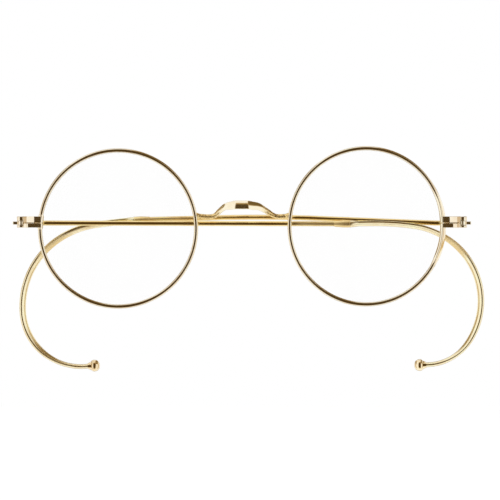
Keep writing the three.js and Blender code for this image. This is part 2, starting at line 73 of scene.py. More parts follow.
# Bridge
FOOT_HEIGHT = 2.75
FOOT_LENGTH = {-1: 4.3, 1: 3.3}
FOOT_THICKNESS = 1.25
FOOT_SUNK = 0.25
SOLDER_FLARE = 0.22
SOLDER_LENGTH = 0.9
FLANK_REACH = {-1: 5.75, 1: 6.4}
FLANK_HEIGHT, FLANK_PROJECTION = 4.05, 0.5
SHOULDER_REACH, SHOULDER_PROJECTION = 4.3, 1.5
SHOULDER_HEIGHT = {-1: 5.15, 1: 5.2}
ROLL_REACH, ROLL_DROP, ROLL_BACK = 2.6, 0.15, 0.3
CREST_HEIGHT, CREST_PROJECTION, CREST_FLAT = 5.62, 2.5, 3.2
CREST_WIDTH, CREST_THICKNESS, CREST_LEAN = 2.35, 0.9, 20.0
BRIDGE_STEPS, BRIDGE_AROUND = 16, 40  # steps on each stretch between two points

# End pieces
JOINT_HEIGHT = 0.97
JOINT_GAP = 0.2
UPPER_END, LOWER_END = 1.7, 1.2  # above and below the split between the halves
JOINT_EDGE, KNUCKLE_EDGE = 0.08, 0.2
BLOCK_LENGTH = 2.9
BLOCK_DEPTH = 2.0
BLOCK_SUNK = 0.9  # how far the blocks lie over the rim
BLOCK_PROUD = 0.04
BLOCK_ROUND = 0.12
UPPER_FLAT = 1.0
LOWER_FLAT = {-1: 2.6, 1: 1.9}
UPPER_SLOPE = 0.75
NECK_FRONT, NECK_BACK = 0.45, 0.75
STOP_REACH = 0.612
HINGE_REACH = 1.5
HINGE_SETBACK = 2.0
LUG_START = 0.56
ARM_ROOT, ARM_BEND, ARM_BEHIND_NECK = -0.2, -0.1, 0.1  # the arm's front face, from the block outwards
ARM_INSET, ARM_FRONT, ARM_BACK = 0.62, 1.25, 2.75  # the arm's end, short of the hinge's axis
ARM_SHORT, KNUCKLE_SHORT = 0.02, 0.01  # of the half's outer face
KNUCKLE_RADIUS = 1.1
KNUCKLE_SQUARENESS = 2.6
KNUCKLE_TALL = 1.0
KNUCKLE_AROUND = 48

# Screws and their bores
SHANK_RADIUS = 0.45
SHANK_CHAMFER = 0.08
SHANK_CLEARANCE, HEAD_CLEARANCE = 0.02, 0.04
HEAD_RADIUS = 0.7
HEAD_HEIGHT = 0.45
HEAD_ROUND = 0.12
SLOT_WIDTH, SLOT_DEPTH, SLOT_EDGE = 0.26, 0.22, 0.01
BORE_AROUND = 32

# Temples; lengths along a temple are from its hinge
TAIL_REACH, TAIL_WIDTH, TAIL_TALL = 2.2, 0.9, 0.8
TAIL_ROUND, TAIL_EDGE = 0.22, 0.12
TANG_WIDTH, TANG_OVERHANG = 1.1, 0.5
TANG_ROUND, TANG_EDGE = 0.25, 0.15
DISC_EDGE = 0.1
SLEEVE_INSIDE, SLEEVE_LIP = 0.3, 0.1  # the ends of a socket or ferrule: inside its wire, and over it
SOCKET_RADIUS = 0.88
SOCKET_START, SOCKET_LENGTH = 1.7, 3.6
SOCKET_TAPER, SOCKET_ROUND = 0.5, 0.2
WIRE_OFFSET = 1.2
WIRE_RADIUS = 0.65
WIRE_DEEP = {"right": (0.5, 0.5), "left": (0.42, 0.62)}  # half its depth, at the hinge and at the ferrule
WIRE_IN_SOCKET, WIRE_IN_FERRULE = 1.5, 1.0
WIRE_STEPS, WIRE_AROUND = 220, 28
RISE_START, RISE_RADIUS = 6.0, 60.0
FERRULE_START, FERRULE_LENGTH = 81.0, 4.0
FERRULE_WIDE, FERRULE_OVER, FERRULE_PAST, FERRULE_ROUND = 1.6, 0.02, 0.1, 0.1  # its wide end, over the cable
CABLE_RADIUS = 0.92
CABLE_PITCH = 0.3
CABLE_IN_FERRULE, CABLE_IN_COLLAR = 0.6, 0.4
CABLE_AROUND, STEPS_PER_TURN = 24, 8
STRAND_ROUND, STRAND_SPAN = 0.03, 1.8
FLAT_START, FLAT_FULL = 0.6, 3.0  # from the cable's start, where its round section is pressed flat
CABLE_LONG, CABLE_SHORT, CABLE_LEAN = 0.98, 0.60, 36.0  # the flat section round the ear: half widths and lean
START_SHORT, START_LEAN = {"right": 0.35, "left": 0.40}, {"right": 45.0, "left": 29.0}  # before the ear
START_LAST, START_END = 22.0, 36.0  # from the cable's start, where the one section becomes the other
UPRIGHT_START, UPRIGHT_FULL = 18.0, 4.0  # from the cable's end, where the section turns upright
BALL_RADIUS = 1.5
BALL_DEEP = 1.3  # half the ball's depth, pressed flat
BALL_NEAR, BALL_FAR = 0.9, 1.5  # from its widest place to its ends along the cable
BALL_SQUARENESS = 2.35
BALL_STEPS, BALL_AROUND = 48, 48
POLE = 1e-6  # a radius that is welded to a point
COLLAR_LENGTH, COLLAR_STRAIGHT, COLLAR_INSIDE = 1.9, 0.2, 0.4
COLLAR_START, COLLAR_RADIUS, COLLAR_DEEP = 0.78, 1.15, 1.0  # half widths at cable and ball, half depth
TIP_RUN = 0.6
TEMPLES = {  # bends are radii and angles; between two lengths a temple is bowed up by the third number
    "right": {
        "fold": -0.6, "rise": -0.15, "run": 81.0,
        "bends": [(134.0, 6.3), (19.2, 118.0), (13.0, 53.0)], "bow": (84.0, 110.0, 0.3),
    },
    "left": {
        "fold": 1.4, "rise": 2.3, "run": 28.5,
        "bends": [(400.0, 8.35), (21.1, 87.5), (15.1, 91.0)], "bow": (66.0, 106.0, 0.45),
    },
}

# Finishes: where they begin and end
NOWHERE = 1000.0
SOLDER_FROM, SOLDER_FADE = 4.5, 3.0  # from the middle plane
SATIN_FROM, SATIN_FULL, SATIN_LAST, SATIN_END = -14.5, 3.0, 6.0, 8.0  # a height, and upwards from there
RUBBED_START, RUBBED_FULL, RUBBED_LAST, RUBBED_END = 10.0, 16.0, 28.0, 34.0  # from the middle plane
# Brown of the painted shade that the gold takes on in corners and creases, where ambient occlusion is high
CORNER_SHADE_BROWN = (0.10, 0.065, 0.03, 1.0)
PIT_BROWN = (0.10, 0.055, 0.02, 1.0)
SATIN_YELLOW = (0.97, 0.74, 0.34, 1.0)
WHITE = (1.0, 1.0, 1.0, 1.0)

# Surroundings
FLOOR_RADIUS, FLOOR_THICKNESS, FLOOR_DROP = 1500.0, 4.0, 80.0
FLOOR_AROUND = 64
CAMERA_LENS, CAMERA_SENSOR = 600.0, 36.0
CAMERA_ASIDE, CAMERA_FAR, CAMERA_DROP = 2.093, 2153.3, 6.01  # from between the rims' middles

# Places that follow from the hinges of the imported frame
HINGES = {joint["child"]: np.array(joint["pos_m"]) / MM for joint in frame["joints"]}
RIM_X = (EYE_SIZE + LENS_GAP) / 2
RIM_OUTSIDE = EYE_SIZE / 2 - GROOVE_DEPTH + RIM_DEPTH
BLOCK_START = RIM_X + RIM_OUTSIDE
BLOCK_END = BLOCK_START + BLOCK_LENGTH
BLOCK_FRONT, BLOCK_BACK = -BLOCK_DEPTH / 2 - BLOCK_PROUD, BLOCK_DEPTH / 2
HINGE_X = BLOCK_END + HINGE_REACH
NECK_END = HINGE_X - STOP_REACH
SCREW_X = BLOCK_START + BLOCK_LENGTH / 2
CENTRE = HINGES["left_temple"] - [HINGE_X, HINGE_SETBACK, JOINT_HEIGHT]  # between the rims' middles


class Socket:
    """A shader value; arithmetic on it adds Math nodes to its tree."""

    def __init__(self, tree, socket):
        self.tree, self.socket = tree, socket

    def math(self, operation, *values):
        """A Math node on the given values."""
        return self.tree.node("ShaderNodeMath", {"operation": operation}, dict(enumerate(values)))

    def __add__(self, other):
        return self.math("ADD", self, other)

    def __sub__(self, other):
        return self.math("SUBTRACT", self, other)

    def __rsub__(self, other):
        return self.math("SUBTRACT", other, self)

    def __mul__(self, other):
        return self.math("MULTIPLY", self, other)

    def __truediv__(self, other):
        return self.math("DIVIDE", self, other)

    def __pow__(self, other):
        return self.math("POWER", self, other)

    __radd__ = __add__
    __rmul__ = __mul__

    def ramp(self, low, high):
        """0 below low, 1 above high, and smooth between them."""
        settings = {"interpolation_type": "SMOOTHSTEP"}
        inputs = {"Value": self, "From Min": low, "From Max": high}
        return self.tree.node("ShaderNodeMapRange", settings, inputs)

    def band(self, start, full, last, end):
        """0 up to start, 1 from full to last, 0 again from end on, with these four in millimetres."""
        return self.ramp(start * MM, full * MM) * (1.0 - self.ramp(last * MM, end * MM))


class Tree:
    """The node tree of a new material or of the world."""

    def __init__(self, owner):
        owner.use_nodes = True
        self.tree = owner.node_tree
        self.tree.nodes.clear()

    def node(self, kind, settings=None, inputs=None, output=0):
        """Adds a node: its settings first, then the values and links of its sockets; returns one output."""
        made = self.tree.nodes.new(kind)
        for key, value in (settings or {}).items():
            if key == "stops":
                self.set_stops(made.color_ramp.elements, value)
            else:
                setattr(made, key, value)
        for key, value in (inputs or {}).items():
            if isinstance(value, Socket):
                self.tree.links.new(value.socket, made.inputs[key])
            else:
                made.inputs[key].default_value = value
        return Socket(self, made.outputs[output]) if len(made.outputs) else None

    @staticmethod
    def set_stops(elements, stops):
        """Puts places and colours on a colour ramp."""
        for _ in stops[len(elements):]:
            elements.new(1.0)
        for element, (place, colour) in zip(elements, stops):
            element.position, element.color = place, (*colour, 1.0)

    def noise(self, place, scale, detail=2.0):
        """Noise from about 0 to 1, with the given number of lumps in a metre."""
        return self.node("ShaderNodeTexNoise", None, {"Vector": place, "Scale": scale, "Detail": detail})

    def mix(self, share, first, second):
        """The first colour with a share of the second."""
        colour_sockets = {0: share, 6: first, 7: second}
        return self.node("ShaderNodeMix", {"data_type": "RGBA"}, colour_sockets, 2)


def gold(name, tint, roughness, corner_shade_share, solder_from=NOWHERE, satin_from=NOWHERE, rubbed_side=0.0):
    """Gold plate: cloudy tint, handled patches that are rougher, fine polishing marks, and painted shade in
    corners, a brown mixed in where ambient occlusion is high.
    Further from the middle plane than the given length it is matt pitted solder, above the given height it
    has a band of yellow satin finish, and on the given side a stretch that the other temple rubbed dull."""
    material = bpy.data.materials.new(name)
    tree = Tree(material)
    place = tree.node("ShaderNodeTexCoord", output="Object")
    across, up = (tree.node("ShaderNodeSeparateXYZ", None, {"Vector": place}, axis) for axis in "XZ")
    clouds = tree.noise(place, 240.0, 3.0)
    handled = tree.noise(place, 90.0).ramp(0.42, 0.68)
    marks = tree.noise(place, 5200.0, 1.0)
    bright = tuple(min(1.0, 1.08 * c) for c in tint)
    worn = tuple(c * f for c, f in zip(tint, (0.93, 0.88, 0.80)))
    stops = [(0.3, worn), (0.5, tint), (0.72, bright)]
    colour = tree.node("ShaderNodeValToRGB", {"stops": stops}, {"Fac": clouds})
    # Painted shade: where ambient occlusion finds other surfaces within 0.6 mm (corners, creases, joints
    # between parts, the cable's turns) the colour is darkened towards brown by the given share, and the
    # surface is made rougher
    corners = tree.node("ShaderNodeAmbientOcclusion", {"samples": 4}, {"Distance": 0.6 * MM}, "AO")
    corner_shade = (1.0 - corners.ramp(0.1, 0.75)) * corner_shade_share
    solder = across.math("ABSOLUTE", across).ramp(solder_from * MM, (solder_from + SOLDER_FADE) * MM)
    pits = solder * tree.noise(place, 2400.0, 3.0).ramp(0.50, 0.72)
    satin = up.band(satin_from, satin_from + SATIN_FULL, satin_from + SATIN_LAST, satin_from + SATIN_END)
    rubbed = (across * rubbed_side).band(RUBBED_START, RUBBED_FULL, RUBBED_LAST, RUBBED_END)
    colour = tree.mix(corner_shade, colour, CORNER_SHADE_BROWN)
    colour = tree.mix(solder + 0.6 * satin, colour, SATIN_YELLOW)
    colour = tree.mix(pits, colour, PIT_BROWN)
    rough = roughness + 0.08 * handled + 0.05 * marks
    rough = rough + 0.25 * (corner_shade + solder) + 0.35 * satin + 0.25 * rubbed
    height = 0.05 * marks + 1.6 * solder * tree.noise(place, 1700.0, 1.0)
    bumps = {"Strength": 1.0, "Distance": 0.04 * MM, "Height": height}
    normal = tree.node("ShaderNodeBump", None, bumps, "Normal")
    inputs = {"Base Color": colour, "Metallic": 1.0, "Roughness": rough, "Normal": normal}
    shader = tree.node("ShaderNodeBsdfPrincipled", None, inputs)
    tree.node("ShaderNodeOutputMaterial", None, {"Surface": shader})
    return material


def clear_glass():
    """Clear polished glass: seen through nearly everywhere, with gloss at slanting views and faint smears."""
    material = bpy.data.materials.new("clear lens glass")
    tree = Tree(material)
    place = tree.node("ShaderNodeTexCoord", output="Object")
    smears = tree.noise(place, 130.0, 3.0).ramp(0.5, 0.8)
    slant = tree.node("ShaderNodeLayerWeight", None, {"Blend": 0.5}, "Facing")
    gloss = tree.node("ShaderNodeBsdfGlossy", None, {"Roughness": 0.02 + 0.1 * smears})
    open_air = tree.node("ShaderNodeBsdfTransparent", None, {"Color": WHITE})
    share = 0.003 + 0.004 * smears + 0.5 * slant ** 4.0
    mixed = tree.node("ShaderNodeMixShader", None, {0: share, 1: open_air, 2: gloss})
    tree.node("ShaderNodeOutputMaterial", None, {"Surface": mixed})
    return material


RIM_GOLD = gold("rim gold plate", (0.98, 0.87, 0.67), 0.08, 0.5)
BRIDGE_GOLD = gold("bridge gold plate", (0.99, 0.90, 0.69), 0.08, 0.6, solder_from=SOLDER_FROM)
WIRE_GOLD = {  # each wire is rubbed towards its ferrule, past the middle plane
    name: gold(f"{name} temple wire gold plate", (0.99, 0.79, 0.40), 0.08, 0.5, rubbed_side=-side)
    for name, side in SIDES.items()
}
HINGE_GOLD = gold("hinge gold plate", (0.98, 0.87, 0.68), 0.08, 0.8)
CABLE_GOLD = gold("cable gold plate", (0.99, 0.88, 0.60), 0.12, 0.06, satin_from=SATIN_FROM)
BALL_GOLD = gold("ball gold plate", (0.98, 0.84, 0.58), 0.08, 0.4)
GLASS = clear_glass()


def skin(rings):
    """The surface over rings[i, j]: each face joins i to i + 1 and j to j + 1. Round a ring j joins up, and
    the first and last ring are filled flat."""
    count, around = rings.shape[:2]
    i = np.arange(count - 1)[:, None]
    j = np.arange(around)[None, :]
    beside = (j + 1) % around
    corners = [i * around + j, i * around + beside, (i + 1) * around + beside, (i + 1) * around + j]
    faces = np.stack(corners, -1).reshape(-1, 4).tolist()
    ring = np.arange(around)
    faces += [ring[::-1].tolist(), (ring + (count - 1) * around).tolist()]
    return rings.reshape(-1, 3), faces


def solid(rings):
    """An object of one closed shell over rings, with its poles welded and its faces turned outwards."""
    points, faces = skin(rings)
    mesh = bpy.data.meshes.new("shell")
    mesh.from_pydata(points * MM, [], faces)
    work = bmesh.new()
    work.from_mesh(mesh)
    bmesh.ops.remove_doubles(work, verts=work.verts, dist=WELD)
    if work.calc_volume(signed=True) < 0:
        bmesh.ops.reverse_faces(work, faces=work.faces)
    work.to_mesh(mesh)
    work.free()
    made = bpy.data.objects.new("shell", mesh)
    bpy.context.scene.collection.objects.link(made)
    return made


def combined(base, tools, operation):
    """The base with each tool added or cut by an exact Boolean, which is then applied."""
    for tool in tools:
        step = base.modifiers.new(operation, "BOOLEAN")
        step.operation, step.solver, step.object = operation, "EXACT", tool
    ready = base.evaluated_get(bpy.context.evaluated_depsgraph_get())
    mesh = bpy.data.meshes.new_from_object(ready)
    base.modifiers.clear()
    base.data = mesh
    for tool in tools:
        bpy.data.objects.remove(tool)
    return base


def piece(name, made, body, material, nodes, sharp=25.0):
    """Names a finished solid, gives it its material, smooths it up to a sharp angle, ties it to its body and
    hides the CAD nodes that it replaces.
    """
    made.name = made.data.name = name
    made.data.materials.clear()
    made.data.materials.append(material)
    made.data.shade_smooth()
    made.data.set_sharp_from_angle(angle=math.radians(sharp))
    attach(made, body)
    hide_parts(*nodes)


def round_turn(steps):
    """Angles round a full turn, the last one short of the first."""
    return np.linspace(0.0, 2 * np.pi, steps, endpoint=False)


def turned(profile, steps=40):
    """A profile of (radius, height) pairs turned about the Z axis: (r cos a, r sin a, h)."""
    radius, height = np.array(profile, float).T[:, :, None]
    angle = round_turn(steps)[None, :]
    return np.stack(np.broadcast_arrays(radius * np.cos(angle), radius * np.sin(angle), height), -1)


def plate(outline, low, high, edge, steps=3):
    """An upright plate with rounded edges: at angle a of the rounding the outline is drawn in by
    edge (1 - cos a), and the height stands edge (1 - sin a) short of the plate's end. Corners are drawn in
    along their bisectors."""
    outline = np.array(outline, float)
    ahead = np.roll(outline, -1, axis=0) - outline
    ahead /= np.linalg.norm(ahead, axis=1, keepdims=True)
    out = np.stack([ahead[:, 1], -ahead[:, 0]], -1)
    before = np.roll(out, 1, axis=0)
    x, y = outline.T
    area = np.sum(x * np.roll(y, -1) - y * np.roll(x, -1))
    bisector = np.sign(area) * (out + before) / (1.0 + np.sum(out * before, axis=1, keepdims=True))
    angle = np.linspace(0.0, np.pi / 2, steps + 1)
    inset = edge * (1.0 - np.cos(angle))
    short = edge * (1.0 - np.sin(angle))
    insets = np.concatenate([inset[::-1], inset])
    heights = np.concatenate([low + short[::-1], high - short])
    flat = outline[None] - insets[:, None, None] * bisector[None]
    return np.concatenate([flat, np.broadcast_to(heights[:, None, None], flat.shape[:2] + (1,))], -1)


def rounded(corners, radius, steps=5):
    """An outline with its corners rounded: each corner becomes a quadratic curve between the points at the
    given distance from it on its two sides."""
    corners = np.array(corners, float)
    back = np.roll(corners, 1, axis=0) - corners
    ahead = np.roll(corners, -1, axis=0) - corners
    reach = np.broadcast_to(np.asarray(radius, float), len(corners))[:, None]
    start = corners + back / np.linalg.norm(back, axis=1, keepdims=True) * reach
    end = corners + ahead / np.linalg.norm(ahead, axis=1, keepdims=True) * reach
    t = np.linspace(0.0, 1.0, steps)[None, :, None]
    curve = (1 - t) ** 2 * start[:, None] + 2 * t * (1 - t) * corners[:, None] + t ** 2 * end[:, None]
    return curve.reshape(-1, 2)


def smooth(t, low, high):
    """0 at low and 1 at high with a level start and end."""
    t = np.clip((t - low) / (high - low), 0.0, 1.0)
    return t * t * (3.0 - 2.0 * t)


def power_round(angle, exponent):
    """A rounded square in two parameters: (sign cos |cos|^e, sign sin |sin|^e)."""
    c, s = np.cos(angle), np.sin(angle)
    return np.sign(c) * np.abs(c) ** exponent, np.sign(s) * np.abs(s) ** exponent


def bent_eye(side, across, back, up):
    """Points of a rim or lens, given from its middle, put where that rim was bent to: (x times its ovalness
    plus its shift outwards, y, z plus its lift)."""
    x = side * (RIM_X + RIM_OUT[side] + RIM_OVAL[side] * across)
    return CENTRE + np.stack(np.broadcast_arrays(x, back, up + RIM_LIFT[side]), -1)


def rim(side):
    """A round wire ring, open at the split. Its section is a rounded square |x|^n + |y|^n = 1, scaled to the
    rim's depth and width, with a groove of V shape inside, and turned about its own middle where the rim is
    rolled over."""
    middle = math.asin((JOINT_HEIGHT - RIM_LIFT[side]) / (EYE_SIZE / 2))
    half_split = RIM_SPLIT / EYE_SIZE
    angle = np.linspace(middle + half_split, middle + 2 * np.pi - half_split, RIM_STEPS)[:, None]
    out, deep = power_round(round_turn(RIM_AROUND), 2.0 / RIM_SQUARENESS)
    out, deep = out * RIM_DEPTH / 2, deep * RIM_WIDTH / 2
    groove = np.clip(1.0 - np.abs(deep) / (GROOVE_WIDTH / 2), 0.0, 1.0) * (out < 0)
    out, deep = (out + GROOVE_DEPTH * groove)[None, :], deep[None, :]
    degrees = (np.degrees(angle) + 180.0) % 360.0 - 180.0
    bent = (1.0 - smooth(degrees, TWIST_FULL, TWIST_START)) * smooth(degrees, TWIST_END, TWIST_LAST)
    bent = bent if side > 0 else np.zeros_like(bent)
    seat = smooth(SEAT_SPAN - np.abs(degrees - math.degrees(middle) - SEAT_RISE), 0.0, SEAT_FADE)
    twist = np.radians(TWIST) * np.maximum(bent, seat)
    radius = EYE_SIZE / 2 - GROOVE_DEPTH + RIM_DEPTH / 2 + out * np.cos(twist) + deep * np.sin(twist)
    back = deep * np.cos(twist) - out * np.sin(twist)
    return bent_eye(side, radius * np.cos(angle), back, radius * np.sin(angle))


def lens(side):
    """A meniscus turned about its axis: two faces of one radius and a bevel that sits in the rim's groove."""
    edge = EYE_SIZE / 2 - GROOVE_DEPTH - LENS_CLEARANCE
    bevel = GROOVE_WIDTH / 2 - LENS_CLEARANCE
    radii = np.linspace(0.0, edge, LENS_RINGS)
    sag = np.sqrt(LENS_CURVE ** 2 - radii ** 2) - math.sqrt(LENS_CURVE ** 2 - edge ** 2)
    front = np.stack([radii, sag + LENS_THICKNESS / 2], -1)
    back = np.stack([radii, sag - LENS_THICKNESS / 2], -1)[::-1]
    rim_edge = [[edge, bevel], [EYE_SIZE / 2 - LENS_CLEARANCE, 0.0], [edge, -bevel]]
    made = turned(np.concatenate([front, rim_edge, back]), LENS_AROUND)
    return bent_eye(side, made[..., 0], -made[..., 2], made[..., 1])


def through(points, steps):
    """A centripetal curve through points (Catmull-Rom): on each stretch a cubic whose slope at a point is
    taken from its two neighbours, with knots spaced by the square root of the distance."""
    ends = [2 * points[0] - points[1], 2 * points[-1] - points[-2]]
    p = np.concatenate([ends[:1], points, ends[1:]])
    gap = np.linalg.norm(np.diff(p, axis=0), axis=1, keepdims=True) ** 0.5
    d0, d1, d2 = gap[:-2], gap[1:-1], gap[2:]
    p0, p1, p2, p3 = p[:-3], p[1:-2], p[2:-1], p[3:]
    m1 = ((p1 - p0) / d0 - (p2 - p0) / (d0 + d1) + (p2 - p1) / d1) * d1
    m2 = ((p2 - p1) / d1 - (p3 - p1) / (d1 + d2) + (p3 - p2) / d2) * d1
    t = np.linspace(0.0, 1.0, steps, endpoint=False)[None, :, None]
    p1, p2, m1, m2 = (a[:, None] for a in (p1, p2, m1, m2))
    h = [2 * t ** 3 - 3 * t ** 2 + 1, t ** 3 - 2 * t ** 2 + t, 3 * t ** 2 - 2 * t ** 3, t ** 3 - t ** 2]
    curve = (h[0] * p1 + h[1] * m1 + h[2] * p2 + h[3] * m2).reshape(-1, 3)
    return np.concatenate([curve, points[-1:]])


def bridge():
    """The arch from rim to rim. Its section is an ellipse across and through the strip: wide and thin at the
    leaning crest, round at the feet, and flared by the solder where a foot meets its rim."""
    inset = {side: math.sqrt(RIM_OUTSIDE ** 2 - (FOOT_HEIGHT - RIM_LIFT[side]) ** 2) for side in (-1, 1)}
    feet = {side: RIM_X + RIM_OUT[side] - RIM_OVAL[side] * inset[side] for side in (-1, 1)}

    def half(side):
        """The points of one half's centreline, from inside its rim to the middle of the crest."""
        points = np.array([
            [feet[side] + FOOT_SUNK, 0.0, FOOT_HEIGHT],
            [feet[side] - FOOT_LENGTH[side], 0.0, FOOT_HEIGHT],
            [FLANK_REACH[side], -FLANK_PROJECTION, FLANK_HEIGHT],
            [SHOULDER_REACH, -SHOULDER_PROJECTION, SHOULDER_HEIGHT[side]],
            [ROLL_REACH, ROLL_BACK - CREST_PROJECTION, CREST_HEIGHT - ROLL_DROP],
            [CREST_FLAT / 2, -CREST_PROJECTION, CREST_HEIGHT],
            [0.0, -CREST_PROJECTION, CREST_HEIGHT],
        ])
        return points * [side, 1, 1]

    line = through(np.concatenate([half(1), half(-1)[-2::-1]]), BRIDGE_STEPS)
    on_left = line[:, :1] > 0
    foot = np.where(on_left, feet[1], feet[-1])
    bend = foot - np.where(on_left, FOOT_LENGTH[1], FOOT_LENGTH[-1])
    along = np.gradient(line, axis=0)
    along /= np.linalg.norm(along, axis=1, keepdims=True)
    lean = np.array([0.0, math.sin(math.radians(CREST_LEAN)), math.cos(math.radians(CREST_LEAN))])
    across = lean - along * (along @ lean)[:, None]
    across /= np.linalg.norm(across, axis=1, keepdims=True)
    inwards = np.cross(along, across)
    out = np.abs(line[:, :1])
    fade = smooth(out, CREST_FLAT / 2, bend)
    solder = SOLDER_FLARE * smooth(out, foot - SOLDER_LENGTH, foot) ** 2
    wide = (CREST_WIDTH + (FOOT_THICKNESS - CREST_WIDTH) * fade) / 2 + solder
    thick = (CREST_THICKNESS + (FOOT_THICKNESS - CREST_THICKNESS) * fade) / 2 + solder
    angle = round_turn(BRIDGE_AROUND)[None, :]
    a, b = (np.cos(angle) * wide)[..., None], (np.sin(angle) * thick)[..., None]
    return CENTRE + line[:, None] + a * across[:, None] + b * inwards[:, None]


def mirrored(outline, side):
    """An outline of (x, y) pairs, drawn for the left side, on the given side."""
    return np.array(outline, float) * [side, 1.0]


def bore(place, radius, low, high):
    """A round cutter about an upright axis through the place, between two heights from it."""
    return solid(place + turned([[radius, low], [radius, high]], BORE_AROUND))


def joint_half(side, upper):
    """One half of an end piece: a block on the rim with a neck, and an arm with the hinge knuckle at its end,
    all upright plates with rounded edges, cut by the screw bores and the seats of the screw heads."""
    way = 1.0 if upper else -1.0
    sink = BLOCK_START - BLOCK_SUNK
    far = UPPER_END if upper else LOWER_END
    flat = UPPER_FLAT if upper else LOWER_FLAT[side]
    slope = UPPER_SLOPE * (BLOCK_LENGTH - flat) / (BLOCK_LENGTH - UPPER_FLAT)
    block = [
        [sink, BLOCK_FRONT], [BLOCK_START + flat, BLOCK_FRONT], [BLOCK_END, BLOCK_FRONT + slope],
        [NECK_END, NECK_FRONT], [NECK_END, NECK_BACK], [BLOCK_END, BLOCK_BACK], [sink, BLOCK_BACK],
    ]
    root, inner = SCREW_X + HEAD_RADIUS, HINGE_X - ARM_INSET
    arm = [
        [root, ARM_ROOT], [BLOCK_END, ARM_BEND], [NECK_END, NECK_FRONT + ARM_BEHIND_NECK],
        [inner, ARM_FRONT], [inner, ARM_BACK], [BLOCK_END, BLOCK_BACK], [root, BLOCK_BACK],
    ]
    knuckle = power_round(round_turn(KNUCKLE_AROUND), 2.0 / KNUCKLE_SQUARENESS)
    knuckle = [HINGE_X, HINGE_SETBACK] + KNUCKLE_RADIUS * np.stack(knuckle, -1)

    def between(outline, start, stop, edge):
        """A plate of the half, from one distance to another off the split."""
        low, high = sorted([way * start, way * stop])
        rings = plate(mirrored(outline, side), JOINT_HEIGHT + low, JOINT_HEIGHT + high, edge)
        return solid(CENTRE + rings)

    made = between(rounded(block, BLOCK_ROUND), JOINT_GAP / 2, far, JOINT_EDGE)
    lug = [
        between(arm, LUG_START, far - ARM_SHORT, JOINT_EDGE),
        between(knuckle, LUG_START, far - KNUCKLE_SHORT, KNUCKLE_EDGE),
    ]
    made = combined(made, lug, "UNION")
    bores = []
    for x, y in [(SCREW_X, 0.0), (HINGE_X, HINGE_SETBACK)]:
        place = CENTRE + [side * x, y, JOINT_HEIGHT]
        bores.append(bore(place, SHANK_RADIUS + SHANK_CLEARANCE, -2 * UPPER_END, 2 * UPPER_END))
        if upper:
            bores.append(bore(place, HEAD_RADIUS + HEAD_CLEARANCE, UPPER_END - HEAD_HEIGHT, 2 * UPPER_END))
    return combined(made, bores, "DIFFERENCE")


def screw(side, x, y):
    """A slotted screw: a turned shank and a head with a rounded rim, cut by a narrow box."""
    a = np.linspace(0.0, np.pi / 2, 6)
    crown = [HEAD_RADIUS, UPPER_END] + HEAD_ROUND * np.stack([np.cos(a) - 1.0, np.sin(a) - 1.0], -1)
    neck = UPPER_END - HEAD_HEIGHT
    shank = [
        [0.0, -LOWER_END], [SHANK_RADIUS - SHANK_CHAMFER, -LOWER_END],
        [SHANK_RADIUS, SHANK_CHAMFER - LOWER_END], [SHANK_RADIUS, neck], [HEAD_RADIUS, neck],
    ]
    place = CENTRE + [side * x, y, JOINT_HEIGHT]
    body = solid(place + turned(np.concatenate([shank, crown, [[0.0, UPPER_END]]])))
    half = np.array([2 * HEAD_RADIUS, SLOT_WIDTH / 2])
    outline = half * [[-1, -1], [1, -1], [1, 1], [-1, 1]]
    slot = solid(place + plate(outline, UPPER_END - SLOT_DEPTH, 2 * UPPER_END, SLOT_EDGE))
    return combined(body, [slot], "DIFFERENCE")


def temple_line(name, lengths):
    """The centreline of a folded temple at the given lengths from its hinge: straight stretches and arcs in
    turn, all in one upright plane, bowed up on one stretch by its lift times a squared sine. Returns the
    points and, for each, the directions up across the temple and through it."""
    bent, side = TEMPLES[name], SIDES[name]
    runs = [(RISE_START, 0.0), (RISE_RADIUS, -bent["rise"]), (bent["run"], 0.0), *bent["bends"],
            (TIP_RUN + COLLAR_LENGTH + BALL_RADIUS, 0.0)]
    straight = {0, 2, len(runs) - 1}
    left = np.array(lengths, float)
    x, z, slope = np.zeros_like(left), np.zeros_like(left), np.zeros_like(left)
    for number, (size, turn) in enumerate(runs):
        length = size if number in straight else size * abs(math.radians(turn))
        step = np.clip(left, 0.0, length)
        if number in straight or not turn:
            x, z = x + step * np.cos(slope), z + step * np.sin(slope)
        else:
            curve = math.copysign(1.0 / size, turn)
            after = slope - curve * step
            x = x + (np.sin(slope) - np.sin(after)) / curve
            z = z + (np.cos(after) - np.cos(slope)) / curve
            slope = after
        left = left - step
    low, high, lift = bent["bow"]
    bow = np.pi * np.clip((np.array(lengths, float) - low) / (high - low), 0.0, 1.0)
    z = z + lift * np.sin(bow) ** 2
    slope = slope + lift * np.pi / (high - low) * np.sin(2 * bow)
    fold = -side * math.radians(bent["fold"])
    ahead = np.array([-side * math.cos(fold), -side * math.sin(fold), 0.0])
    behind = np.array([-math.sin(fold), math.cos(fold), 0.0])
    up = np.array([0.0, 0.0, 1.0])
    place = HINGES[f"{name}_temple"] + x[:, None] * ahead + WIRE_OFFSET * behind + z[:, None] * up
    across = np.cos(slope)[:, None] * up - np.sin(slope)[:, None] * ahead
    return place, across, np.broadcast_to(behind, place.shape)


def temple_length(name):
    """Length of a temple's centreline from its hinge to the middle of its ball."""
    bent = TEMPLES[name]
    arcs = [(RISE_RADIUS, abs(bent["rise"])), *bent["bends"]]
    return RISE_START + bent["run"] + sum(r * math.radians(t) for r, t in arcs) + TIP_RUN + COLLAR_LENGTH


def tube(name, lengths, radii, around=WIRE_AROUND):
    """Rings along a temple: at length s and angle a the surface stands radius(s, a) from the centreline."""
    place, across, behind = temple_line(name, lengths)
    angle = round_turn(around)[None, :, None]
    spread = np.cos(angle) * across[:, None] + np.sin(angle) * behind[:, None]
    return place[:, None] + np.broadcast_to(radii, (len(lengths), around))[..., None] * spread


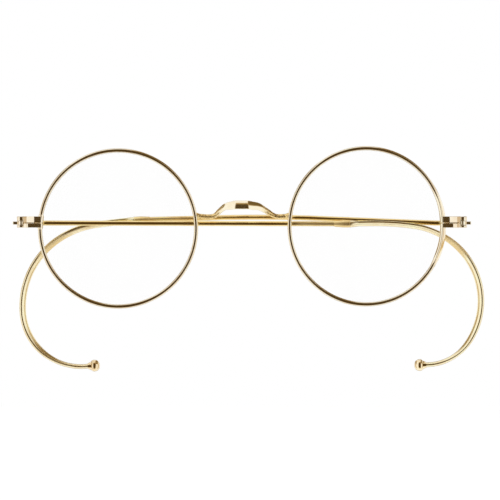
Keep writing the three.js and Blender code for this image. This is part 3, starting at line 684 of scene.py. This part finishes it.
def sleeve(name, profile, edge):
    """Rings of a round sleeve on a temple: a profile of (length, radius) pairs with its corners rounded."""
    outline = rounded(profile, edge, 6)
    return tube(name, outline[:, 0], outline[:, 1:])


def butt(name):
    """The hinge end of a temple: knuckle, stop tail and tang as upright plates with rounded edges, joined to
    the wire's turned socket, and bored for the hinge screw."""
    side, half, hinge = SIDES[name], KNUCKLE_TALL / 2, HINGES[f"{name}_temple"]
    fold = -side * math.radians(TEMPLES[name]["fold"])
    turn = np.array([[math.cos(fold), math.sin(fold)], [-math.sin(fold), math.cos(fold)]])

    def upright(outline, tall, edge):
        """A plate that stands the given height above and below the hinge's middle."""
        return solid(hinge + plate(mirrored(outline, side) @ turn, -tall, tall, edge))

    angle = round_turn(KNUCKLE_AROUND)
    disc = KNUCKLE_RADIUS * np.stack([np.cos(angle), np.sin(angle)], -1)
    wide = TAIL_WIDTH / 2
    tail = rounded([[0.0, -wide], [TAIL_REACH, -wide], [TAIL_REACH, wide], [0.0, wide]], TAIL_ROUND)
    near, far = WIRE_OFFSET - TANG_WIDTH / 2, WIRE_OFFSET + TANG_WIDTH / 2
    back = -SOCKET_START - SOCKET_LENGTH / 2
    tang = rounded([[back, near], [TANG_OVERHANG, near], [TANG_OVERHANG, far], [back, far]], TANG_ROUND)
    end = SOCKET_START + SOCKET_LENGTH
    socket = [
        [SOCKET_START, SLEEVE_INSIDE], [SOCKET_START, SOCKET_RADIUS], [end - SOCKET_TAPER, SOCKET_RADIUS],
        [end, WIRE_RADIUS + SLEEVE_LIP], [end, SLEEVE_INSIDE],
    ]
    joined = [
        upright(tail, TAIL_TALL / 2, TAIL_EDGE),
        upright(tang, half, TANG_EDGE),
        solid(sleeve(name, socket, SOCKET_ROUND)),
    ]
    made = combined(upright(disc, half, DISC_EDGE), joined, "UNION")
    cutter = bore(hinge, SHANK_RADIUS + SHANK_CLEARANCE, -KNUCKLE_TALL, KNUCKLE_TALL)
    return combined(made, [cutter], "DIFFERENCE")


def wire(name):
    """The straight wire, from inside its socket to inside its ferrule. Its section is an ellipse, whose depth
    changes evenly along the wire."""
    start = SOCKET_START + SOCKET_LENGTH - WIRE_IN_SOCKET
    lengths = np.linspace(start, FERRULE_START + WIRE_IN_FERRULE, WIRE_STEPS)
    angle = round_turn(WIRE_AROUND)[None, :]
    deep = np.linspace(*WIRE_DEEP[name], len(lengths))[:, None]
    return tube(name, lengths, 1.0 / np.hypot(np.cos(angle) / WIRE_RADIUS, np.sin(angle) / deep))


def ferrule(name):
    """A sleeve that swells from the wire to the cable, with rounded lips."""
    end = FERRULE_START + FERRULE_LENGTH
    wide = CABLE_RADIUS + FERRULE_OVER
    profile = [
        [FERRULE_START, SLEEVE_INSIDE], [FERRULE_START, WIRE_RADIUS + SLEEVE_LIP], [end - FERRULE_WIDE, wide],
        [end + FERRULE_PAST, wide], [end + FERRULE_PAST, SLEEVE_INSIDE],
    ]
    return sleeve(name, profile, FERRULE_ROUND)


def cable(name):
    """The wound ear cable. At length s and angle a it stands an ellipse's radius from the centreline, less
    w (1 - sqrt(1 - q^2)), where w is the strand's rounding and q how far s lies from the middle of the
    nearest turn, the turns climbing with a. The ellipse is round in the ferrule, then pressed flat and
    leaning, thicker round the ear, and turned upright towards the ball."""
    start = FERRULE_START + FERRULE_LENGTH - CABLE_IN_FERRULE
    end = temple_length(name) - COLLAR_LENGTH + CABLE_IN_COLLAR
    steps = int(round((end - start) / CABLE_PITCH * STEPS_PER_TURN))
    lengths = np.linspace(start, end, steps)[:, None]
    angle = round_turn(CABLE_AROUND)[None, :]
    flat = smooth(lengths, start + FLAT_START, start + FLAT_FULL)
    early = 1.0 - smooth(lengths, start + START_LAST, start + START_END)
    upright = smooth(lengths, end - UPRIGHT_START, end - UPRIGHT_FULL)
    pressed = CABLE_SHORT + (START_SHORT[name] - CABLE_SHORT) * early
    long = CABLE_RADIUS + (CABLE_LONG - CABLE_RADIUS) * flat
    short = CABLE_RADIUS + (pressed - CABLE_RADIUS) * flat
    lean = CABLE_LEAN + (START_LEAN[name] - CABLE_LEAN) * early
    leaning = angle + np.radians(lean + (90.0 - lean) * upright)
    ellipse = long * short / np.hypot(short * np.cos(leaning), long * np.sin(leaning))
    turns = lengths / CABLE_PITCH - angle / (2 * np.pi)
    from_middle = STRAND_SPAN * (turns % 1.0 - 0.5)
    valley = STRAND_ROUND * (1.0 - np.sqrt(1.0 - from_middle ** 2))
    return tube(name, lengths[:, 0], ellipse - valley, CABLE_AROUND)


def ball_tip(name):
    """A ball on a collar, along the straight end of the cable. The ball's outline is a rounded square,
    shorter towards the cable, and the collar widens to it. Every section is an ellipse, across the cable and
    through it."""
    middle = temple_length(name)
    widest = middle - (BALL_FAR - BALL_NEAR) / 2
    exponent = 2.0 / BALL_SQUARENESS
    join = math.asin((COLLAR_RADIUS / BALL_RADIUS) ** (1.0 / exponent))
    along, out = power_round(np.linspace(np.pi - join, 0.0, BALL_STEPS), exponent)
    ball = [widest + along * np.where(along < 0, BALL_NEAR, BALL_FAR), BALL_RADIUS * out, BALL_DEEP * out]
    start = middle - COLLAR_LENGTH
    collar = [
        [start, COLLAR_INSIDE, COLLAR_INSIDE],
        [start, COLLAR_START, COLLAR_DEEP],
        [start + COLLAR_STRAIGHT, COLLAR_START, COLLAR_DEEP],
    ]
    lengths, across, deep = np.concatenate([collar, np.stack(ball, -1)]).T[:, :, None]
    angle = round_turn(BALL_AROUND)[None, :]
    across, deep = np.maximum(across, POLE), np.maximum(deep, POLE)
    ellipse = 1.0 / np.hypot(np.cos(angle) / across, np.sin(angle) / deep)
    return tube(name, lengths[:, 0], ellipse, BALL_AROUND)


for name, side in SIDES.items():
    body, finish = f"{name}_temple", WIRE_GOLD[name]
    piece(f"{name}_rim_wire", solid(rim(side)), "front", RIM_GOLD, [f"{name}_rim"], sharp=50.0)
    piece(f"{name}_clear_lens", solid(lens(side)), "front", GLASS, [f"{name}_lens"])
    for half in ("upper", "lower"):
        made = joint_half(side, half == "upper")
        piece(f"{name}_end_piece_{half}", made, "front", HINGE_GOLD, [f"{name}_joint_{half}"])
    for kind, x, y in [("closing", SCREW_X, 0.0), ("hinge", HINGE_X, HINGE_SETBACK)]:
        node = f"{name}_{kind}_screw"
        piece(f"{name}_slotted_{kind}_screw", screw(side, x, y), "front", HINGE_GOLD, [node])
    piece(f"{name}_temple_knuckle", butt(name), body, HINGE_GOLD, [f"{name}_temple_butt"])
    piece(f"{name}_temple_rod", solid(wire(name)), body, finish, [f"{name}_temple_wire"])
    piece(f"{name}_cable_ferrule", solid(ferrule(name)), body, finish, [f"{name}_ferrule"])
    nodes = [f"{name}_cable", f"{name}_cable_core"]
    piece(f"{name}_wound_cable", solid(cable(name)), body, CABLE_GOLD, nodes, sharp=180.0)
    piece(f"{name}_cable_ball", solid(ball_tip(name)), body, BALL_GOLD, [f"{name}_ball_tip"])
piece("saddle_bridge", solid(bridge()), "front", BRIDGE_GOLD, ["bridge"], sharp=60.0)


def studio():
    """White surroundings for the camera. What the metal mirrors is white too, apart from dark brown figures.
    Each is laid out as on a mirror ball that faces it: dark where ((p - a) / b)^4 + ((q - c) / d)^2 is small,
    with p and q a direction's parts beside and up over sqrt(2 + 2f), where f is its part towards the figure.
    Before the front are a body and two arms, behind the back a fainter body, and at either end a weak one."""
    world = bpy.data.worlds.new("studio")
    bpy.context.scene.world = world
    tree = Tree(world)
    place = tree.node("ShaderNodeTexCoord", output="Generated")
    x, y, z = (tree.node("ShaderNodeSeparateXYZ", None, {"Vector": place}, axis) for axis in "XYZ")

    def figure(facing, beside, middle, wide, tall):
        """1 in a figure and 0 round it; 2.001 keeps the root above 0."""
        reach = (2.001 + 2.0 * facing) ** 0.5
        u, v = (beside / reach - middle[0]) / wide, (z / reach - middle[1]) / tall
        return 1.0 - (u ** 4.0 + v * v).ramp(0.4, 1.5)

    forwards, rightwards = -1.0 * y, -1.0 * x
    dark = figure(forwards, x, middle=(0.0, -0.02), wide=0.18, tall=0.46)
    others = [
        (0.9, figure(forwards, x, middle=(0.36, 0.55), wide=0.26, tall=0.30)),
        (0.8, figure(forwards, x, middle=(-0.64, 0.42), wide=0.14, tall=0.32)),
        (0.85, figure(y, x, middle=(0.0, 0.02), wide=0.16, tall=0.34)),
        (0.35, figure(x, y, middle=(0.0, 0.0), wide=0.16, tall=0.40)),
        (0.35, figure(rightwards, y, middle=(0.0, 0.0), wide=0.16, tall=0.40)),
    ]
    for share, other in others:
        dark = dark.math("MAXIMUM", dark, share * other)
    stops = [(0.0, (1.0, 1.0, 1.0)), (0.5, (0.50, 0.33, 0.12)), (1.0, (0.075, 0.045, 0.014))]
    room = tree.node("ShaderNodeValToRGB", {"stops": stops}, {"Fac": dark})
    clear = tree.node("ShaderNodeLightPath", output="Is Camera Ray")
    clear = clear + tree.node("ShaderNodeLightPath", output="Is Transmission Ray")
    shine = tree.node("ShaderNodeBackground", None, {"Color": tree.mix(clear, room, WHITE), "Strength": 1.0})
    tree.node("ShaderNodeOutputWorld", None, {"Surface": shine})


def floor():
    """A large pale floor well under the spectacles, a flat disc."""
    low = -FLOOR_DROP - FLOOR_THICKNESS
    profile = [[0.0, low], [FLOOR_RADIUS, low], [FLOOR_RADIUS, -FLOOR_DROP], [0.0, -FLOOR_DROP]]
    made = solid(turned(profile, FLOOR_AROUND))
    made.name = made.data.name = "floor"
    material = bpy.data.materials.new("pale floor")
    tree = Tree(material)
    place = tree.node("ShaderNodeTexCoord", output="Object")
    tones = [(0.3, (0.93, 0.93, 0.93)), (0.7, (0.96, 0.96, 0.96))]
    colour = tree.node("ShaderNodeValToRGB", {"stops": tones}, {"Fac": tree.noise(place, 3.0)})
    matt = tree.node("ShaderNodeBsdfDiffuse", None, {"Color": colour})
    glow = tree.node("ShaderNodeEmission", None, {"Color": WHITE, "Strength": 1.3})
    camera_ray = tree.node("ShaderNodeLightPath", output="Is Camera Ray")
    mixed = tree.node("ShaderNodeMixShader", None, {0: 0.6 * camera_ray, 1: matt, 2: glow})
    tree.node("ShaderNodeOutputMaterial", None, {"Surface": mixed})
    made.data.materials.append(material)
    made.visible_glossy = False


def light():
    """One broad soft lamp above, for the shadow; its size and place are in metres."""
    lamp = bpy.data.lights.new("soft lamp", "AREA")
    lamp.shape, lamp.size, lamp.energy = "DISK", 1.2, 8.0
    made = bpy.data.objects.new("soft lamp", lamp)
    made.location = (-0.3, -0.5, 1.6)
    made.rotation_euler = (math.radians(17.0), math.radians(-10.0), 0.0)
    made.visible_glossy = False
    bpy.context.scene.collection.objects.link(made)


def camera():
    """Straight at the front, from far off with a long lens: 129.2 mm across at the rims."""
    optics = bpy.data.cameras.new("camera")
    optics.lens, optics.sensor_width = CAMERA_LENS, CAMERA_SENSOR
    made = bpy.data.objects.new("camera", optics)
    made.location = np.array([CAMERA_ASIDE, CENTRE[1] - CAMERA_FAR, CENTRE[2] - CAMERA_DROP]) * MM
    made.rotation_euler = (math.radians(90.0), 0.0, 0.0)
    bpy.context.scene.collection.objects.link(made)
    bpy.context.scene.camera = made


studio()
floor()
light()
camera()
bpy.context.scene.view_settings.view_transform = "Standard"
